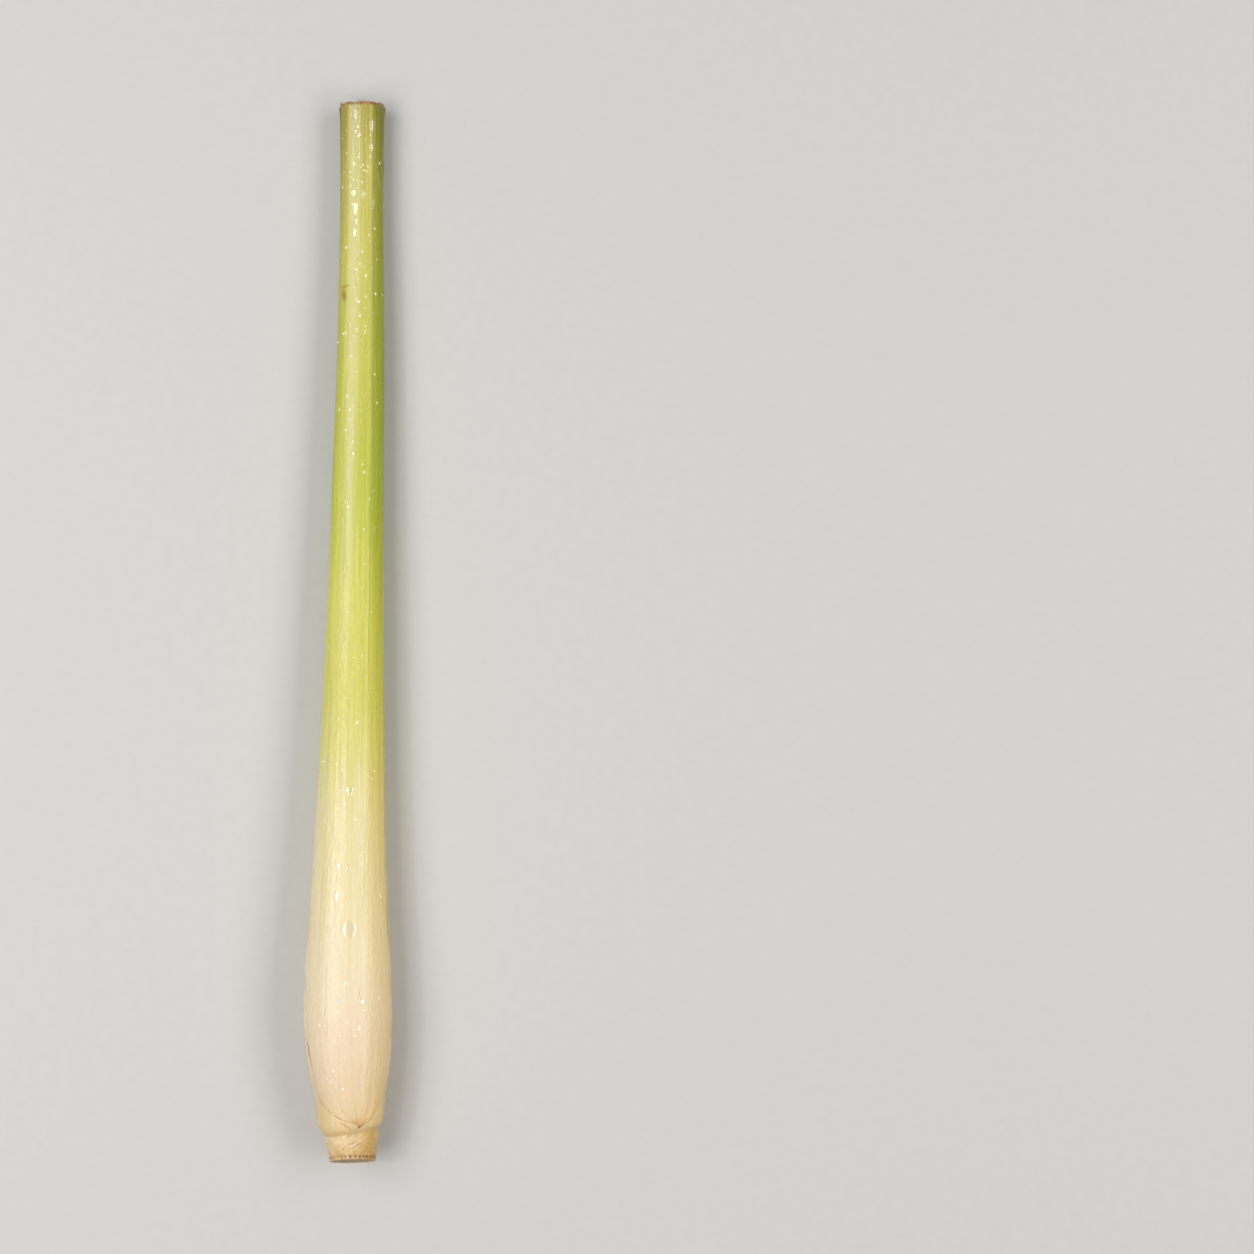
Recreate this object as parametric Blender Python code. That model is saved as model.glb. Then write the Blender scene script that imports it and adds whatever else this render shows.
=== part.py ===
"""A trimmed lemongrass stalk, lying on its side.

The stalk is a false stem: leaf sheaths rolled round each other, all growing from a short real stem. Leaves
sit on alternate sides, so each sheath's rib lies where the last one's margins meet. The outer sheath hugs the
back and leaves the front open in a V; the second sheath fills that front.

The stalk grows along +Y, root end first, and +Z is up. Sizes are in metres. A place along the stalk is its
distance from the root cut; an angle round it is counted from the top, towards +X.
"""

import math

import bmesh
import bpy

MM = 0.001

# Driving dimensions
TOP_CUT = 199.2 * MM
GAP = 0.28 * MM
FLATNESS = 0.91

# The root cut leans: further along at the top of the stalk and a little at its +X side
ROOT_CUT_SLOPE = math.tan(math.radians(14))
ROOT_CUT_SKEW = math.tan(math.radians(2))
ROOT_CUT_BACK = 0.46 * MM

# Outlines: the points that each shape needs, joined by a smooth curve
SILHOUETTE = (
    (4.8, 5.55), (7.7, 6.1), (11.5, 6.65), (19, 7.9), (27, 8.33), (34, 8.13),
    (49, 7.28), (68, 6.47), (106, 5.47), (143, 4.83), (165, 4.42), (183, 4.12), (200, 4.33),
)
BOW = ((0, 0.95), (12, 0.42), (27, 0), (49, 0.17), (87, 0.9), (125, 1.65), (162, 2.23), (200, 2.4))
LEFT_MARGIN = ((4.8, -6), (6.8, 9), (8.7, 30), (13.2, 58), (20, 64), (28, 84), (60, 92), (110, 95), (200, 88))
RIGHT_MARGIN = ((4.8, 12), (6.4, 23), (9.1, 54), (12.4, 85), (20, 91), (40, 90), (70, 94), (110, 104), (200, 96))

# The stub below the leaves: distance from the cut, radius
STUB = ((0, 4.43), (2.3, 4.8), (4.5, 5.05))

# The outer sheath's thickness, at its margins and along its rib
MARGIN_THICKNESS = 0.35 * MM
RIB_THICKNESS = 0.75 * MM
FOOT_THICKNESS = 0.95 * MM

# Where the outer sheath's foot needs extra sections, and how short the step inside it is
FOOT_SHOULDER = 6.2 * MM
FOOT_MARGINS = (8.6 * MM, 11.2 * MM)
BODY_FROM = 12 * MM
INNER_STEP = 0.05 * MM

# How much the rib is pressed flat along the side the stalk lies on
REST_FLAT = 0.32 * MM

# The rolled sheaths: where each one grows from the stem, and which side its rib is on
ROLLED = (
    ("second_leaf_sheath", 7.5 * MM, 0),
    ("third_leaf_sheath", 10.8 * MM, 180),
    ("fourth_leaf_sheath", 14.4 * MM, 0),
)
HEART_FOOT = 19.2 * MM
HEART_TAPER = 0.6
WALL_SHARE = 0.165
MARGIN_SHARES = (0.5, 0.2)
OVERLAP = 48
FADE = 36

# How finely each shape is divided round the stalk: degrees, columns or sides
ANGLE_STEP = 12
OUTER_COLUMNS = 24
HEART_SIDES = 20
STEM_SIDES = 28

STATIONS = [place * MM for place in (10, 13, 17, 22, 27, 33, 42, 54, 72, 100, 140, 170)]
FOOT_STEPS = (0, 0.9 * MM, 2.2 * MM)
TOP_SETBACK = {
    "outer_leaf_sheath": 0.5 * MM,
    "second_leaf_sheath": 0,
    "third_leaf_sheath": 0.35 * MM,
    "fourth_leaf_sheath": 0.1 * MM,
    "heart_leaves": 0.3 * MM,
}

COLOURS = {
    "stem_base": (0.72, 0.50, 0.25),
    "outer_leaf_sheath": (0.62, 0.56, 0.22),
    "second_leaf_sheath": (0.70, 0.66, 0.26),
    "third_leaf_sheath": (0.76, 0.70, 0.42),
    "fourth_leaf_sheath": (0.62, 0.40, 0.42),
    "heart_leaves": (0.82, 0.77, 0.52),
}


def clear_scene():
    for obj in list(bpy.data.objects):
        bpy.data.objects.remove(obj, do_unlink=True)


def curve_through(points, scale=MM):
    """A smooth curve through (place, value) points that never overshoots between them."""
    places = [place * MM for place, _ in points]
    values = [value * scale for _, value in points]
    slopes = [
        (values[i + 1] - values[i]) / (places[i + 1] - places[i]) for i in range(len(points) - 1)
    ]
    tangents = [slopes[0]]
    for before, after in zip(slopes, slopes[1:]):
        tangents.append(0 if before * after <= 0 else 2 * before * after / (before + after))
    tangents.append(slopes[-1])

    def value_at(place):
        if place <= places[0]:
            return values[0]
        if place >= places[-1]:
            return values[-1]
        i = max(k for k in range(len(places) - 1) if places[k] <= place)
        span = places[i + 1] - places[i]
        t = (place - places[i]) / span
        rise = values[i + 1] - values[i]
        lead = tangents[i] * span
        trail = tangents[i + 1] * span
        return values[i] + t * (lead + t * (3 * rise - 2 * lead - trail + t * (lead + trail - 2 * rise)))

    return value_at


silhouette = curve_through(SILHOUETTE)
bow = curve_through(BOW)
left_margin = curve_through(LEFT_MARGIN, 1)
right_margin = curve_through(RIGHT_MARGIN, 1)


def second_radius(place):
    """Outer radius of the second sheath: what the outer sheath's thin margins leave free."""
    return silhouette(place) - MARGIN_THICKNESS - GAP


def layer_radius(layer, place):
    """Outer radius of a rolled layer, counted inwards from 0 for the second sheath."""
    radius = second_radius(place)
    for _ in range(layer):
        radius -= rolled_depth(radius) + GAP
    return radius


def rolled_depth(radius):
    """Radial room of a rolled sheath: its wall, or its two thin margins and the gap between them."""
    wall = WALL_SHARE * radius
    return max(wall, sum(MARGIN_SHARES) * wall + GAP)


def point_at(place, radius, degrees):
    angle = math.radians(degrees)
    return (bow(place) + radius * math.sin(angle), place, radius * math.cos(angle) * FLATNESS)


def pressed(point):
    """The same point, raised to the flat that the stalk lies on if it is below it."""
    x, place, z = point
    full_depth = (silhouette(place) + RIB_THICKNESS - MARGIN_THICKNESS) * FLATNESS
    return (x, place, max(z, REST_FLAT - full_depth))


def ease(start, end, share):
    share = min(max(share, 0), 1)
    return start + (end - start) * share * share * (3 - 2 * share)


# ---------------------------------------------------------------- sections


def rolled_section(radius, rib_side):
    """Outer and inner edge of a rolled sheath's section, from the tucked margin to the one that laps over it."""
    half = 180 + OVERLAP / 2
    lap_start = half - OVERLAP
    wall = WALL_SHARE * radius
    depth = rolled_depth(radius)
    lap_share, edge_share = MARGIN_SHARES
    section = []
    steps = round(half / ANGLE_STEP)
    for step in range(-steps, steps + 1):
        from_rib = abs(step) * half / steps
        faded = 1 + (from_rib - lap_start) / FADE
        into_lap = max((from_rib - lap_start) / OVERLAP, 0)
        thickness = wall * (ease(1, lap_share, faded) + (edge_share - lap_share) * into_lap)
        if step > 0:
            outer, inner = radius, radius - thickness
        else:
            inner = radius - ease(wall, depth, faded)
            outer = inner + ease(wall, thickness, faded)
        section.append((rib_side + step * half / steps, outer, inner))
    return section


def outer_sheath_section(place):
    """Section of the open outer sheath, from its right margin round the back to its left margin."""
    start = right_margin(place)
    end = 360 - left_margin(place)
    section = []
    for step in range(OUTER_COLUMNS + 1):
        share = step / OUTER_COLUMNS
        swell = (RIB_THICKNESS - MARGIN_THICKNESS) * math.sin(math.pi * share)
        outer = silhouette(place) + swell
        inner = silhouette(place) - MARGIN_THICKNESS
        if place < ROLLED[0][1] - GAP:
            inner = silhouette(place) - FOOT_THICKNESS
        section.append((start + (end - start) * share, outer, inner))
    return section


# ---------------------------------------------------------------- solids


def add_piece(name, bm, parent):
    bmesh.ops.recalc_face_normals(bm, faces=bm.faces)
    mesh = bpy.data.meshes.new(name)
    bm.to_mesh(mesh)
    bm.free()
    mesh.shade_smooth()
    mesh.set_sharp_from_angle(angle=math.radians(35))
    material = bpy.data.materials.new(name)
    material.use_nodes = True
    shader = material.node_tree.nodes["Principled BSDF"]
    shader.inputs["Base Color"].default_value = (*COLOURS[name], 1)
    shader.inputs["Roughness"].default_value = 0.45
    mesh.materials.append(material)
    piece = bpy.data.objects.new(name, mesh)
    piece.parent = parent
    bpy.context.collection.objects.link(piece)
    return piece


def sheet_solid(rows):
    """A closed sheet from rows of (outer point, inner point) pairs: two skins, two margins and two ends."""
    bm = bmesh.new()
    outer = [[bm.verts.new(out) for out, _ in row] for row in rows]
    inner = [[bm.verts.new(inn) for _, inn in row] for row in rows]
    last_row, last_column = len(rows) - 1, len(rows[0]) - 1
    for i in range(last_row):
        for j in range(last_column):
            bm.faces.new((outer[i][j], outer[i][j + 1], outer[i + 1][j + 1], outer[i + 1][j]))
            bm.faces.new((inner[i][j], inner[i + 1][j], inner[i + 1][j + 1], inner[i][j + 1]))
        for j in (0, last_column):
            bm.faces.new((outer[i][j], outer[i + 1][j], inner[i + 1][j], inner[i][j]))
    for i in (0, last_row):
        for j in range(last_column):
            bm.faces.new((outer[i][j], outer[i][j + 1], inner[i][j + 1], inner[i][j]))
    return bm


def rod_solid(rings):
    """A closed solid from rings of points, with a flat face at each end."""
    bm = bmesh.new()
    loops = [[bm.verts.new(point) for point in ring] for ring in rings]
    count = len(rings[0])
    for lower, upper in zip(loops, loops[1:]):
        for j in range(count):
            after = (j + 1) % count
            bm.faces.new((lower[j], lower[after], upper[after], upper[j]))
    bm.faces.new(loops[0])
    bm.faces.new(loops[-1])
    return bm


def stations_from(name, foot):
    return (
        [foot + step for step in FOOT_STEPS]
        + [place for place in STATIONS if place > foot + 1.5 * FOOT_STEPS[-1]]
        + [TOP_CUT - TOP_SETBACK[name]]
    )


def make_outer_sheath(parent):
    """The foot is a near-closed ring; a step at the second sheath's foot thins the wall from inside."""
    name = "outer_leaf_sheath"
    foot = SILHOUETTE[0][0] * MM
    thin_from = ROLLED[0][1] - GAP
    places = [foot, FOOT_SHOULDER, thin_from - INNER_STEP, thin_from, *FOOT_MARGINS, *stations_from(name, BODY_FROM)]
    rows = [
        [(pressed(point_at(place, outer, angle)), point_at(place, inner, angle))
         for angle, outer, inner in outer_sheath_section(place)]
        for place in places
    ]
    return add_piece(name, sheet_solid(rows), parent)


def make_rolled_sheath(layer, parent):
    name, foot, rib_side = ROLLED[layer]
    rows = [
        [(point_at(place, outer, angle), point_at(place, inner, angle))
         for angle, outer, inner in rolled_section(layer_radius(layer, place), rib_side)]
        for place in stations_from(name, foot)
    ]
    return add_piece(name, sheet_solid(rows), parent)


def ring(place, radius, sides):
    return [point_at(place, radius, 360 * side / sides) for side in range(sides)]


def make_heart(parent):
    """Young leaves rolled tight: a rod that starts narrow over the growing tip."""
    name = "heart_leaves"
    places = stations_from(name, HEART_FOOT)
    radii = [layer_radius(len(ROLLED), place) for place in places]
    radii[0] *= HEART_TAPER
    rings = [ring(place, radius, HEART_SIDES) for place, radius in zip(places, radii)]
    return add_piece(name, rod_solid(rings), parent)


def make_stem_base(parent):
    """The stub with its slanting root cut, then a cone that steps in under the foot of each sheath."""
    first_place, first_radius = STUB[0]
    cut = []
    for x, y, z in ring(first_place * MM, first_radius * MM, STEM_SIDES):
        slant = z * ROOT_CUT_SLOPE + (x - bow(0)) * ROOT_CUT_SKEW - ROOT_CUT_BACK
        cut.append((x, y + slant, z))
    rings = [cut] + [ring(place * MM, radius * MM, STEM_SIDES) for place, radius in STUB[1:]]
    feet = [SILHOUETTE[0][0] * MM] + [foot for _, foot, _ in ROLLED] + [HEART_FOOT]
    for layer, (foot, next_foot) in enumerate(zip(feet, feet[1:])):
        for place in (foot, next_foot - GAP):
            if layer == 0:
                inner = silhouette(place) - FOOT_THICKNESS
            else:
                radius = layer_radius(layer - 1, place)
                inner = radius - rolled_depth(radius)
            rings.append(ring(place - (GAP if place == foot else 0), inner - GAP, STEM_SIDES))
    return add_piece("stem_base", rod_solid(rings), parent)


# ---------------------------------------------------------------- laying it down


def lowest(points, tilt):
    return min(z * math.cos(tilt) + y * math.sin(tilt) for _, y, z in points)


def resting_tilt(points):
    """The slope at which the bulb and the thin top end both touch the surface."""
    bulb = [p for p in points if p[1] < TOP_CUT / 3]
    tip = [p for p in points if p[1] > TOP_CUT * 2 / 3]
    low, high = math.radians(-5), math.radians(5)
    for _ in range(50):
        middle = (low + high) / 2
        if lowest(tip, middle) > lowest(bulb, middle):
            high = middle
        else:
            low = middle
    return (low + high) / 2


def lay_down(stalk, pieces):
    """Tilts and places the whole stalk, so the middle of its box's underside is the origin."""
    points = [tuple(vertex.co) for piece in pieces for vertex in piece.data.vertices]
    tilt = resting_tilt(points)
    ys = [y * math.cos(tilt) - z * math.sin(tilt) for _, y, z in points]
    xs = [x for x, _, _ in points]
    stalk.rotation_euler = (tilt, 0, 0)
    stalk.location = (-(min(xs) + max(xs)) / 2, -(min(ys) + max(ys)) / 2, -lowest(points, tilt))


clear_scene()
stalk = bpy.data.objects.new("stalk", None)
bpy.context.collection.objects.link(stalk)
pieces = [make_stem_base(stalk), make_outer_sheath(stalk), make_heart(stalk)]
pieces += [make_rolled_sheath(layer, stalk) for layer in range(len(ROLLED))]
lay_down(stalk, pieces)
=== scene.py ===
# %% [markdown]
# A fresh lemongrass stalk, trimmed at both ends and lying on its side. It is a false stem: leaf sheaths
# rolled round each other on a very short real stem. The solid model gives the sizes and the places. This
# script gives each piece the surface that makes it look freshly cut: veins, margins, dried edges and damp.

# %% Load the solid model
import math

import bmesh
import bpy
import numpy as np
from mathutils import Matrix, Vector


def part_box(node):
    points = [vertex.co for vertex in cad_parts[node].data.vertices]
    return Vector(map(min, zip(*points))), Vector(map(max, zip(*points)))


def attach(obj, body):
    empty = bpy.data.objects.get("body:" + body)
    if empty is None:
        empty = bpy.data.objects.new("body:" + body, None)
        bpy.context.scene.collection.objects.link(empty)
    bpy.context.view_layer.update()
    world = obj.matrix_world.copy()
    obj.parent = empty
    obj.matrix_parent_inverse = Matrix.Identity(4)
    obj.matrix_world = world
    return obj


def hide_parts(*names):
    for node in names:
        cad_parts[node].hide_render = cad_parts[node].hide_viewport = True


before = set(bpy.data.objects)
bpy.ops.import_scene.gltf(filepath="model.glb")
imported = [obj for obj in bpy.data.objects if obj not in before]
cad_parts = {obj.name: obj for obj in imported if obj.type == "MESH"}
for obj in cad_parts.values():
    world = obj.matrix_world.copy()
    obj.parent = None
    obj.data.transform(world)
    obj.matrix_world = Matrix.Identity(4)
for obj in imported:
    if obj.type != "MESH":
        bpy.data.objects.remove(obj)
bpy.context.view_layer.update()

print("nodes:", sorted(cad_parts))

# %% [markdown]
# Every shape below is worked out in the stalk's own frame, in millimetres: how far along it is from the
# root cut, how far out from the middle, and the angle round it, counted from the top towards +X. One
# helper turns a few outline points into a smooth curve that never overshoots, so a bulb stays one bulb.
# The margins are those of the sheath that is open in front, in degrees to either side of the top.

# %% Smooth curves through outline points


def smooth_curve(points):
    """A curve through (along, value) points that works on whole arrays at once."""
    places = np.array([place for place, _ in points], float)
    values = np.array([value for _, value in points], float)
    spans = np.diff(places)
    slopes = np.diff(values) / spans
    before, after = slopes[:-1], slopes[1:]
    same_way = before * after > 0
    total = np.where(same_way, before + after, 1)
    middle = np.where(same_way, 2 * before * after / total, 0)
    tangents = np.concatenate([slopes[:1], middle, slopes[-1:]])

    def value_at(along):
        along = np.clip(along, places[0], places[-1])
        i = np.clip(np.searchsorted(places, along, side="right") - 1, 0, len(spans) - 1)
        t = (along - places[i]) / spans[i]
        rise = values[i + 1] - values[i]
        lead = tangents[i] * spans[i]
        trail = tangents[i + 1] * spans[i]
        return values[i] + t * (lead + t * (3 * rise - 2 * lead - trail + t * (lead + trail - 2 * rise)))

    return value_at


TOP_CUT = 199.2
WIDEST = 27
silhouette = smooth_curve((
    (4.8, 5.6), (7.7, 6.15), (11.5, 6.68), (15, 7.28), (19, 7.9), (23, 8.2), (27, 8.33), (34, 8.13),
    (49, 7.28), (68, 6.47), (106, 5.45), (143, 4.83), (165, 4.42), (183, 4.14), (200, 4.33),
))
bow = smooth_curve((
    (0, 0.95), (12, 0.42), (27, 0), (49, 0.17), (87, 0.9), (125, 1.65), (162, 2.23), (200, 2.4),
))
left_margin = smooth_curve((
    (3.6, -21), (6.3, -19), (7.2, -5.5), (7.9, 12.3), (9.2, 29.5), (11.5, 55), (13.2, 59), (20, 64), (28, 84),
    (60, 92), (110, 95), (200, 88),
))
right_margin = smooth_curve((
    (3.5, -25), (4.9, 2.5), (6.0, 23.5), (7.2, 39.5), (8.1, 51), (9.8, 63), (12.4, 85), (20, 91), (40, 89.5),
    (70, 93), (110, 104), (200, 96),
))


def mm_per_degree(along):
    """How far one degree reaches round the stalk."""
    return silhouette(along) * math.pi / 180


for part, place in (("bulb", WIDEST), ("top", TOP_CUT)):
    print(part, round(2 * float(silhouette(place)), 2), "mm wide")

# %% [markdown]
# The stalk touches the surface at its bulb and at its thin top end, so its own line slopes a little. The
# slope is found by lowering it until both ends touch, and the rest of the placing comes from the solid.
# The back is pressed a little flat by its own weight, which is what keeps a round stalk from rolling.

# %% Lay the stalk down
FLATNESS = 0.91
RIB_SWELL = 0.4
REST_FLAT = 0.32
stations = np.linspace(5, TOP_CUT, 400)
underside = REST_FLAT - (silhouette(stations) + RIB_SWELL) * FLATNESS


def lowest(tilt, part):
    return float(np.min(underside[part] * math.cos(tilt) + stations[part] * math.sin(tilt)))


bulb_end, top_end = stations < 66, stations > 132
shallow, steep = math.radians(-5), math.radians(5)
for _ in range(40):
    tilt = (shallow + steep) / 2
    if lowest(tilt, top_end) > lowest(tilt, bulb_end):
        steep = tilt
    else:
        shallow = tilt

line_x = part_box("outer_leaf_sheath")[0][0] * 1000 + float(silhouette(WIDEST))
line_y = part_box("second_leaf_sheath")[1][1] * 1000 - TOP_CUT * math.cos(tilt)
line_z = -lowest(tilt, bulb_end)


def to_world(along, radius, angle):
    """Points in metres in the model's frame, from places on the stalk."""
    turn = np.radians(angle)
    x = bow(along) + radius * np.sin(turn)
    z = radius * np.cos(turn) * FLATNESS
    y = along * math.cos(tilt) - z * math.sin(tilt)
    z = np.maximum(along * math.sin(tilt) + z * math.cos(tilt) + line_z, 0)
    return np.stack([x + line_x, y + line_y, z], axis=-1) / 1000


print("slope of the stalk:", round(math.degrees(tilt), 2), "degrees")

# %% [markdown]
# Camera and lights come early, so that every piece can be looked at as soon as it is made. The stalk is
# seen straight from above, from a little to its right. Two soft strips light it as a studio would: a broad
# one on the left that gives the long highlight, and a weaker one on the right. A very small lamp in front
# of the broad one adds little light but puts a bright spark on every drop of water.

# %% Camera
VIEW_FROM = (0.0526, 0.0014, 0.558)
LENS = 83.8
camera_data = bpy.data.cameras.new("camera")
camera_data.lens = LENS
camera_data.sensor_width = 36
camera_data.clip_start = 0.01
camera = bpy.data.objects.new("camera", camera_data)
camera.location = VIEW_FROM
bpy.context.collection.objects.link(camera)
bpy.context.scene.camera = camera
bpy.context.scene.view_settings.view_transform = "Standard"

# %% Lights
LAMP_WHITE = (1, 0.985, 0.95)
SPARK_WHITE = (1, 1, 1)
ROOM_WHITE = (1, 0.98, 0.94, 1)
ROOM_STRENGTH = 0.26


def strip_light(name, from_top, distance, width, length, power, tint):
    """A soft strip that runs along the stalk, at an angle from straight above, facing it."""
    data = bpy.data.lights.new(name, "AREA")
    data.shape = "RECTANGLE"
    data.size, data.size_y = width, length
    data.energy = power
    data.color = tint
    lamp = bpy.data.objects.new(name, data)
    turn = math.radians(from_top)
    lamp.location = (distance * math.sin(turn), 0, distance * math.cos(turn))
    lamp.rotation_euler = (0, turn, 0)
    lamp.visible_camera = False
    bpy.context.collection.objects.link(lamp)
    return lamp


lamps = [
    strip_light("key_strip", -29, 0.75, 0.46, 0.9, 3.9, LAMP_WHITE),
    strip_light("glint_lamp", -30, 0.7, 0.035, 0.05, 0.3, SPARK_WHITE),
    strip_light("side_strip", 44, 0.8, 0.3, 0.9, 3.1, LAMP_WHITE),
]
world = bpy.data.worlds.new("studio")
world.use_nodes = True
room = world.node_tree.nodes["Background"].inputs
room["Color"].default_value = ROOM_WHITE
room["Strength"].default_value = ROOM_STRENGTH
bpy.context.scene.world = world
print("lights:", [lamp.name for lamp in lamps])

# %% [markdown]
# A finish is a small net of shader nodes. These helpers keep each net readable: one adds a node with its
# inputs, and the others name what a maker would ask for, such as streaks that run with the grain, a
# colour that changes along the stalk, or a tint where a mark kept on the mesh is strong.

# %% Helpers for finishes


def paint(card):
    """A colour by its card code, two signs each for red, green and blue, as shaders use it."""
    share = [int(card[place : place + 2], 16) / 255 for place in (0, 2, 4)]
    return (*(s / 12.92 if s <= 0.04045 else ((s + 0.055) / 1.055) ** 2.4 for s in share), 1)


def new_finish(name, piece):
    """Puts a new finish on a piece; gives its net of nodes and its main shader."""
    finish = bpy.data.materials.new(name)
    finish.use_nodes = True
    piece.data.materials.append(finish)
    tree = finish.node_tree
    return tree, tree.nodes["Principled BSDF"]


def plug(tree, node, inputs):
    """Each input is a plain value, another node's output or the name of a mark kept on the mesh."""
    for name, value in inputs.items():
        if isinstance(value, str):
            value = add(tree, "Attribute", {}, attribute_name=value).outputs["Fac"]
        if isinstance(value, bpy.types.NodeSocket):
            tree.links.new(value, node.inputs[name])
        else:
            node.inputs[name].default_value = value


def add(tree, kind, inputs, **settings):
    node = tree.nodes.new("ShaderNode" + kind)
    for name, value in settings.items():
        setattr(node, name, value)
    plug(tree, node, inputs)
    return node


def reckon(tree, operation, first, *others):
    """All of them combined by one operation, one after another."""
    for other in others:
        first = add(tree, "Math", {0: first, 1: other}, operation=operation).outputs[0]
    return first


def fit(tree, value, low, high, to_low=0.0, to_high=1.0):
    inputs = {"Value": value, "From Min": low, "From Max": high, "To Min": to_low, "To Max": to_high}
    return add(tree, "MapRange", inputs, clamp=True).outputs["Result"]


def mix(tree, share, first, second, blend="MIX"):
    node = add(tree, "Mix", {0: share, 6: first, 7: second}, data_type="RGBA", blend_type=blend)
    return node.outputs[2]


def colour_along(tree, share, stops):
    node = add(tree, "ValToRGB", {0: share})
    elements = node.color_ramp.elements
    while len(elements) < len(stops):
        elements.new(0.5)
    for element, (place, colour) in zip(elements, stops):
        element.position = place
        element.color = paint(colour)
    return node.outputs["Color"]


def streaks(tree, per_degree, per_mm, detail, seed, curl=0.0):
    """Noise drawn out along the grain: busy round the stalk, slow along it; curl makes it swirl."""
    across = reckon(tree, "MULTIPLY", "around", per_degree)
    down = reckon(tree, "MULTIPLY", "along", per_mm)
    place = add(tree, "CombineXYZ", {0: across, 1: down, 2: seed}).outputs[0]
    inputs = {"Vector": place, "Scale": 1.0, "Detail": detail, "Roughness": 0.6, "Distortion": curl}
    return add(tree, "TexNoise", inputs).outputs["Fac"]


def speckle(tree, size_mm, detail=2.0):
    place = add(tree, "TexCoord", {}).outputs["Object"]
    inputs = {"Vector": place, "Scale": 1000 / size_mm, "Detail": detail, "Roughness": 0.55}
    return add(tree, "TexNoise", inputs).outputs["Fac"]


def two_tone(tree, noise, first, second, low=0.35, high=0.65):
    """Two paint-card colours mixed by a noise."""
    return mix(tree, fit(tree, noise, low, high), paint(first), paint(second))


def tinted(tree, colour, *tints):
    """The colour, moved towards a paint-card colour where each mark kept on the mesh is strong."""
    for mark, low, high, most, card, *blend in tints:
        colour = mix(tree, fit(tree, mark, low, high, 0, most), colour, paint(card), *blend)
    return colour


# %% [markdown]
# Leaf surfaces are never even. A grid of random heights, read smoothly between its points, gives gentle
# unevenness that can be stretched along the grain. It comes from one seeded table, so it is always the
# same, and each surface reads its own layer of it, so no two of them wander alike.

# %% Unevenness
TABLE_SIDE = 256
TABLE_SEED = 7
LAYER_ACROSS, LAYER_DOWN = 37, 59
table = np.random.default_rng(TABLE_SEED).uniform(-1, 1, (TABLE_SIDE, TABLE_SIDE))


def uneven(across, down, layer=0, wrap=TABLE_SIDE):
    """Smooth random heights from -1 to 1; layer picks another part of the table, wrap closes it in a ring."""
    across, down = np.broadcast_arrays(np.asarray(across, float), np.asarray(down, float))
    i, j = np.floor(across).astype(int), np.floor(down).astype(int)
    u, v = across - i, down - j
    u, v = u * u * (3 - 2 * u), v * v * (3 - 2 * v)
    left, right = [(side % wrap + LAYER_ACROSS * layer) % TABLE_SIDE for side in (i, i + 1)]
    low, high = [(side + LAYER_DOWN * layer) % TABLE_SIDE for side in (j, j + 1)]
    near = table[left, low] * (1 - u) + table[right, low] * u
    far = table[left, high] * (1 - u) + table[right, high] * u
    return near * (1 - v) + far * v


def body_shape(along, angle):
    """The gentle lumps of the whole stalk, which every sheath follows."""
    return 0.075 * uneven(angle / 18, along / 38, wrap=20) + 0.03 * uneven(angle / 6, along / 22, 1, wrap=60)


def bump_at(offset, width):
    """A soft hump: 1 where the offset is 0, gone a couple of widths away."""
    return np.exp(-((offset / width) ** 2))


def spot_at(across, down, width, length):
    """A soft round or oval hump."""
    return bump_at(across, width) * bump_at(down, length)


def step_up(value, start, end):
    """0 before start, 1 after end, with a soft rise between."""
    share = np.clip((value - start) / (end - start), 0, 1)
    return share * share * (3 - 2 * share)


# %% [markdown]
# A sheath is a sheet with two skins. Its grid of points runs up the outer skin, over the cut edge and
# down the inner skin, so one closed loop of rows makes both, and the two side margins are stitched shut.
# Each point also keeps its place along and round the stalk, and any marks, for the finishes to read.

# %% Closed sheets from rows of points


def stitch(loop, heights):
    """Triangles that close the two ends of a loop of points, from the foot edge up."""
    low, high = 0, len(loop) - 1
    made = []
    while high - low > 1:
        if heights[low + 1] <= heights[high - 1]:
            made.append((loop[low], loop[low + 1], loop[high]))
            low += 1
        else:
            made.append((loop[low], loop[high - 1], loop[high]))
            high -= 1
    return made


def make_mesh(name, points, faces, marks, sharp=40):
    """A smooth-shaded piece, its faces turned outwards, with its marks kept on the points."""
    mesh = bpy.data.meshes.new(name)
    mesh.from_pydata(points.reshape(-1, 3).tolist(), [], faces)
    for mark, values in marks.items():
        kept_mark = mesh.attributes.new(mark, "FLOAT", "POINT")
        kept_mark.data.foreach_set("value", np.asarray(values, np.float32).ravel())
    bm = bmesh.new()
    bm.from_mesh(mesh)
    bmesh.ops.recalc_face_normals(bm, faces=bm.faces)
    bm.to_mesh(mesh)
    bm.free()
    mesh.shade_smooth()
    mesh.set_sharp_from_angle(angle=math.radians(sharp))
    piece = bpy.data.objects.new(name, mesh)
    bpy.context.collection.objects.link(piece)
    print(name, len(mesh.polygons), "faces")
    return piece


def tube_faces(rows, columns, start=0):
    """Faces of a tube of closed rows, with both its ends capped."""
    index = start + np.arange(rows * columns).reshape(rows, columns)
    ahead = np.roll(index, -1, axis=1)
    sides = np.stack([index[:-1], ahead[:-1], ahead[1:], index[1:]], axis=-1)
    return sides.reshape(-1, 4).tolist() + [index[0][::-1].tolist(), index[-1].tolist()]


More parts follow.
